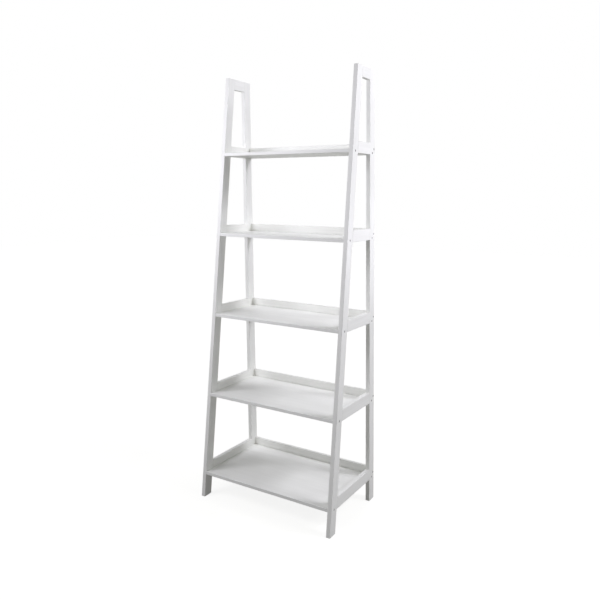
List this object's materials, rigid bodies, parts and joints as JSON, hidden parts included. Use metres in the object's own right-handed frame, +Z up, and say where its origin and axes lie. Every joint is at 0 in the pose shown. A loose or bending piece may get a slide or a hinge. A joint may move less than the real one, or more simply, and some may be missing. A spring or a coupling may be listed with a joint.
{
  "type": "ladder bookcase",
  "caption": "Tall open bookcase with raked ladder-like side frames, shelf boards that grow deeper towards the floor and a low rail behind each board.",
  "frame": {"origin": "centre of the footprint, on the floor under the feet", "axes": "+X runs along the shelves to the right as seen from the front, +Y to the back, +Z up"},
  "size_m": [0.61, 0.3759, 1.732],
  "materials": {
    "white_painted_wood": "opaque white satin paint on planed timber",
    "screw_steel": "zinc plated"
  },
  "bodies": {
    "root": {"leg_front_left": "white_painted_wood", "leg_back_left": "white_painted_wood", "side_rail_top_left": "white_painted_wood", "side_rail_1_left": "white_painted_wood", "side_rail_2_left": "white_painted_wood", "side_rail_3_left": "white_painted_wood", "side_rail_4_left": "white_painted_wood", "side_rail_5_left": "white_painted_wood", "leg_front_right": "white_painted_wood", "leg_back_right": "white_painted_wood", "side_rail_top_right": "white_painted_wood", "side_rail_1_right": "white_painted_wood", "side_rail_2_right": "white_painted_wood", "side_rail_3_right": "white_painted_wood", "side_rail_4_right": "white_painted_wood", "side_rail_5_right": "white_painted_wood", "shelf_1": "white_painted_wood", "back_rail_1": "white_painted_wood", "shelf_2": "white_painted_wood", "back_rail_2": "white_painted_wood", "shelf_3": "white_painted_wood", "back_rail_3": "white_painted_wood", "shelf_4": "white_painted_wood", "back_rail_4": "white_painted_wood", "shelf_5": "white_painted_wood", "back_rail_5": "white_painted_wood", "screw_front_1_left": "screw_steel", "screw_back_1_left": "screw_steel", "screw_rail_1_left": "screw_steel", "screw_front_2_left": "screw_steel", "screw_back_2_left": "screw_steel", "screw_rail_2_left": "screw_steel", "screw_front_3_left": "screw_steel", "screw_back_3_left": "screw_steel", "screw_rail_3_left": "screw_steel", "screw_front_4_left": "screw_steel", "screw_back_4_left": "screw_steel", "screw_rail_4_left": "screw_steel", "screw_front_5_left": "screw_steel", "screw_back_5_left": "screw_steel", "screw_rail_5_left": "screw_steel", "screw_front_1_right": "screw_steel", "screw_back_1_right": "screw_steel", "screw_rail_1_right": "screw_steel", "screw_front_2_right": "screw_steel", "screw_back_2_right": "screw_steel", "screw_rail_2_right": "screw_steel", "screw_front_3_right": "screw_steel", "screw_back_3_right": "screw_steel", "screw_rail_3_right": "screw_steel", "screw_front_4_right": "screw_steel", "screw_back_4_right": "screw_steel", "screw_rail_4_right": "screw_steel", "screw_front_5_right": "screw_steel", "screw_back_5_right": "screw_steel", "screw_rail_5_right": "screw_steel"}
  },
  "joints": []
}
